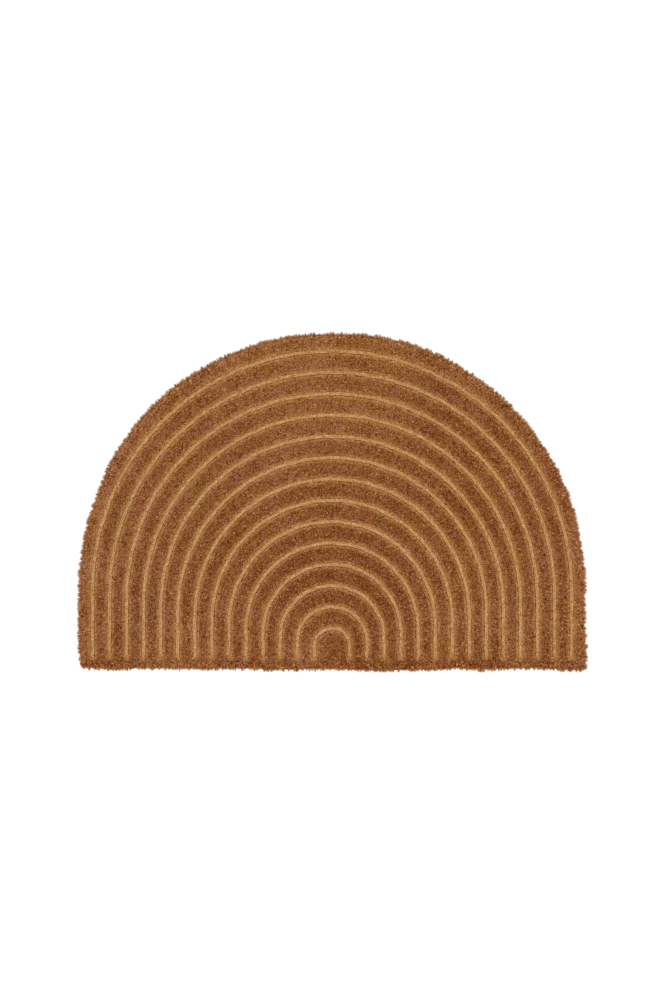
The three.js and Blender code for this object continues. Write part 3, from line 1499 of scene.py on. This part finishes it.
@dataclass(frozen=True)
class CoirTone:
    """The uneven colour of coir, in reddish and golden blotches.

    Attributes:
        stray: how strongly red, green and blue stray, each on its own.
        noises: the size and the share of each noise that they stray by.
    """

    stray: Colour = (0.0, 0.58, 1.9)
    noises: Table = ((2 * MM, 0.78), (11 * MM, 0.62), (70 * MM, 0.27))

    def group(self) -> bpy.types.NodeTree:
        """Builds the node group that every coir finish uses.

        Returns:
            The group, which takes the fibre's colour, how golden the place is and how
            strong the blotches are, and gives the coir's colour.
        """
        group = bpy.data.node_groups.new("coir_tone", "ShaderNodeTree")
        for name, kind, usual in (
            ("Fibre", "NodeSocketColor", (0.3, 0.15, 0.05, 1)),
            ("Golden", "NodeSocketFloat", 0.0),
            ("Blotches", "NodeSocketFloat", 1.0),
        ):
            socket = group.interface.new_socket(name, in_out="INPUT", socket_type=kind)
            socket.default_value = usual
        result = "Coir colour"
        group.interface.new_socket(result, in_out="OUTPUT", socket_type="NodeSocketColor")

        nodes = NodeTree(group)
        given = nodes.add("NodeGroupInput").outputs
        place = nodes.place()
        middle = sum(share for _, share in self.noises) / 2
        hue = tuple(1 - middle * channel for channel in self.stray)
        for size, share in self.noises:
            noise = nodes.noise(place, size).outputs["Color"]
            scale = tuple(share * channel for channel in self.stray)
            hue = nodes.vector("MULTIPLY_ADD", noise, scale, hue)
        golden = nodes.add("ShaderNodeCombineXYZ", {"Z": given["Golden"]}).outputs[0]
        hue = nodes.vector("SUBTRACT", hue, golden)
        hued = nodes.mix(1.0, given["Fibre"], hue, "MULTIPLY")
        blotched = nodes.mix(given["Blotches"], given["Fibre"], hued)
        nodes.add("NodeGroupOutput", {result: blotched})
        return group


def new_material(name: str) -> tuple[Material, NodeTree]:
    """Makes a material without any nodes.

    Args:
        name: the material's name.

    Returns:
        The material and its node tree.
    """
    material = bpy.data.materials.new(name)
    material.use_nodes = True
    material.node_tree.nodes.clear()
    return material, NodeTree(material.node_tree)


@dataclass(frozen=True)
class CutPileFinish:
    """Upright fibres: dark brown among the lands, golden on the sides of the grooves."""

    land: Stops = (
        (0.0, (0.117, 0.008, 0.0)),
        (0.5, (0.317, 0.128, 0.0375)),
        (1.0, (0.515, 0.258, 0.134)),
    )
    flank: Stops = (
        (0.0, (0.192, 0.040, 0.0)),
        (0.5, (0.396, 0.193, 0.061)),
        (1.0, (0.604, 0.357, 0.170)),
    )
    # Painted shade in the hollows of the sunk tufts
    hollow_shade: Colour = (0.035, 0.009, 0.001)
    bright: Colour = (0.60, 0.32, 0.135)
    land_blotches: float = 1.0
    flank_blotches: float = 0.5
    roughness: float = 0.78
    gloss: float = 0.0

    def material(self, tone: bpy.types.NodeTree) -> Material:
        """Builds the material.

        Args:
            tone: the node group of the coir tone.

        Returns:
            The material.
        """
        made, nodes = new_material("cut_pile")
        shade = nodes.attribute("shade")
        speck = nodes.attribute("speck")
        land = nodes.toned(tone, nodes.ramp(shade, self.land), self.land_blotches)
        side = nodes.toned(tone, nodes.ramp(shade, self.flank), self.flank_blotches)
        colour = nodes.mix(nodes.attribute("flank"), land, side)
        # Painted shade where tufts are sunk
        colour = nodes.mix(nodes.share(speck, -1.0), colour, self.hollow_shade)
        colour = nodes.mix(nodes.share(speck, 1.0), colour, self.bright)
        nodes.surface(Base_Color=colour, Roughness=self.roughness, Specular_IOR_Level=self.gloss)
        return made


@dataclass(frozen=True)
class BedFinish:
    """The bed: painted shade under the pile, tan pressed floors, painted shadow in the slits."""

    # The bed among the lands is dark with painted shade under the pile
    under_pile_shade: Colour = (0.10, 0.034, 0.006)
    lip: Colour = (0.19, 0.084, 0.024)
    # A painted shadow in the slits at the foot of the pile beside each floor
    slit_shadow: Colour = (0.085, 0.032, 0.006)
    floor: Colour = (0.21, 0.094, 0.030)
    floor_light: Colour = (0.43, 0.222, 0.087)
    fleck: float = 1.2 * MM
    fleck_range: Span = (0.35, 0.65)
    blotches: float = 0.6
    roughness: float = 0.7
    gloss: float = 0.06

    def material(self, tone: bpy.types.NodeTree) -> Material:
        """Builds the material.

        Args:
            tone: the node group of the coir tone.

        Returns:
            The material.
        """
        made, nodes = new_material("coir_bed")
        # Painted shade under the pile, giving way to the lighter bed on the grooves' sides
        colour = nodes.mix(nodes.attribute("flank"), self.under_pile_shade, self.lip)
        noise = nodes.noise(nodes.place(), self.fleck).outputs[0]
        low, high = self.fleck_range
        fleck = nodes.add("ShaderNodeMapRange", {0: noise, 1: low, 2: high}).outputs[0]
        pressed = nodes.mix(fleck, self.floor, self.floor_light)
        colour = nodes.mix(nodes.attribute("floor"), colour, pressed)
        # Painted shadow in the slits beside the floors
        colour = nodes.mix(nodes.attribute("slit_shadow"), colour, self.slit_shadow)
        colour = nodes.toned(tone, colour, self.blotches)
        nodes.surface(Base_Color=colour, Roughness=self.roughness, Specular_IOR_Level=self.gloss)
        return made


@dataclass(frozen=True)
class StrandFinish:
    """Fibres pressed flat and smooth, pinkish tan to golden."""

    fibre: Stops = (
        (0.0, (0.112, 0.030, 0.0)),
        (0.5, (0.343, 0.186, 0.069)),
        (1.0, (0.573, 0.341, 0.169)),
    )
    blotches: float = 0.7
    roughness: float = 0.6
    gloss: float = 0.05

    def material(self, tone: bpy.types.NodeTree) -> Material:
        """Builds the material.

        Args:
            tone: the node group of the coir tone.

        Returns:
            The material.
        """
        made, nodes = new_material("pressed_strands")
        fibre = nodes.ramp(nodes.attribute("shade"), self.fibre)
        colour = nodes.toned(tone, fibre, self.blotches)
        nodes.surface(Base_Color=colour, Roughness=self.roughness, Specular_IOR_Level=self.gloss)
        return made


@dataclass(frozen=True)
class BackingFinish:
    """The plain matt backing on the underside."""

    deep: Colour = (0.050, 0.030, 0.018)
    worn: Colour = (0.085, 0.055, 0.036)
    cloud: float = 60 * MM
    grain: float = 0.9 * MM
    grain_detail: float = 3.0
    grain_strength: float = 0.4
    grain_height: float = 0.2 * MM
    roughness: float = 0.62

    def material(self) -> Material:
        """Builds the material with its fine grain.

        Returns:
            The material.
        """
        made, nodes = new_material("backing")
        place = nodes.place()
        cloud = nodes.noise(place, self.cloud).outputs[0]
        colour = nodes.mix(cloud, self.deep, self.worn)
        grain = {
            "Height": nodes.noise(place, self.grain, self.grain_detail).outputs[0],
            "Strength": self.grain_strength,
            "Distance": self.grain_height,
        }
        bump = nodes.add("ShaderNodeBump", grain).outputs[0]
        nodes.surface(Base_Color=colour, Roughness=self.roughness, Normal=bump)
        return made


@dataclass(frozen=True)
class FloorFinish:
    """The plain pale floor."""

    colour: Colour = (0.90, 0.90, 0.90)
    roughness: float = 0.9

    def material(self) -> Material:
        """Builds the material.

        Returns:
            The material.
        """
        made, nodes = new_material("floor")
        nodes.surface(Base_Color=self.colour, Roughness=self.roughness)
        return made


@dataclass(frozen=True)
class Studio:
    """The pale floor, the soft light and the camera straight above."""

    # The camera, and what it shows from top to bottom at the level of the pile
    picture_height: float = 1.475
    lens: float = 85.0
    sensor: float = 36.0
    centre_x: float = -0.7 * MM
    centre_y: float = 3.3 * MM
    focus_height: float = 14 * MM
    view_range: Span = (0.1, 50.0)

    # The floor, a little below the mat
    floor_size: float = 12.0
    floor_drop: float = 0.2 * MM

    # The strength of the light from all round, and the lamp above in watts
    sky: float = 0.52
    lamp_power: float = 175.0
    lamp_size: float = 2.0
    lamp_height: float = 4.0

    def camera(self) -> None:
        """Places the camera."""
        data = bpy.data.cameras.new("camera")
        data.lens = self.lens
        data.sensor_width = self.sensor
        data.clip_start, data.clip_end = self.view_range
        away = self.picture_height * self.lens / self.sensor
        camera = bpy.data.objects.new("camera", data)
        camera.location = (self.centre_x, self.centre_y, self.focus_height + away)
        bpy.context.scene.collection.objects.link(camera)
        bpy.context.scene.camera = camera

    def floor(self) -> None:
        """Lays the floor."""
        half = self.floor_size / 2
        corners = [(-half, -half), (half, -half), (half, half), (-half, half)]
        mesh = bpy.data.meshes.new("floor")
        mesh.from_pydata([(x, y, -self.floor_drop) for x, y in corners], [], [(0, 1, 2, 3)])
        mesh.materials.append(FloorFinish().material())
        floor = bpy.data.objects.new("floor", mesh)
        bpy.context.scene.collection.objects.link(floor)

    def lights(self) -> None:
        """Lights the mat from all round and softly from above."""
        world = bpy.data.worlds.new("studio")
        world.use_nodes = True
        background = world.node_tree.nodes["Background"]
        background.inputs[0].default_value = (1, 1, 1, 1)
        background.inputs[1].default_value = self.sky
        bpy.context.scene.world = world
        data = bpy.data.lights.new("softbox", "AREA")
        data.shape = "SQUARE"
        data.size = self.lamp_size
        data.energy = self.lamp_power
        lamp = bpy.data.objects.new("softbox", data)
        lamp.location = (0, 0, self.lamp_height)
        bpy.context.scene.collection.objects.link(lamp)

    def set_up(self) -> None:
        """Sets up the whole studio."""
        self.camera()
        self.floor()
        self.lights()
        bpy.context.scene.view_settings.view_transform = "Standard"


def main() -> None:
    """Sets up the studio and builds the mat, piece by piece."""
    logging.basicConfig(level=logging.INFO, format="%(name)s: %(message)s")
    Studio().set_up()
    rng = np.random.default_rng(SEED)
    low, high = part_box("mat")
    pattern = ArchPattern(straight_edge=low[1])
    heights = PileHeights()
    outline = Outline(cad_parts["mat"], pattern.foot_row_y, grow=0.8 * MM)
    tone = CoirTone().group()
    pile_finish = CutPileFinish().material(tone)

    bed_finishes = [BedFinish().material(tone), BackingFinish().material()]
    bed = Bed(pattern, outline, heights).build(bed_finishes, rng)
    pieces = CutPile(pattern, outline, heights).build(pile_finish, rng)
    pieces.append(EdgeBristles(outline, heights).build(pile_finish, rng))
    pieces.append(PressedStrands(pattern, heights).build(StrandFinish().material(tone), rng))
    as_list(pieces)


if __name__ == "__main__":
    main()
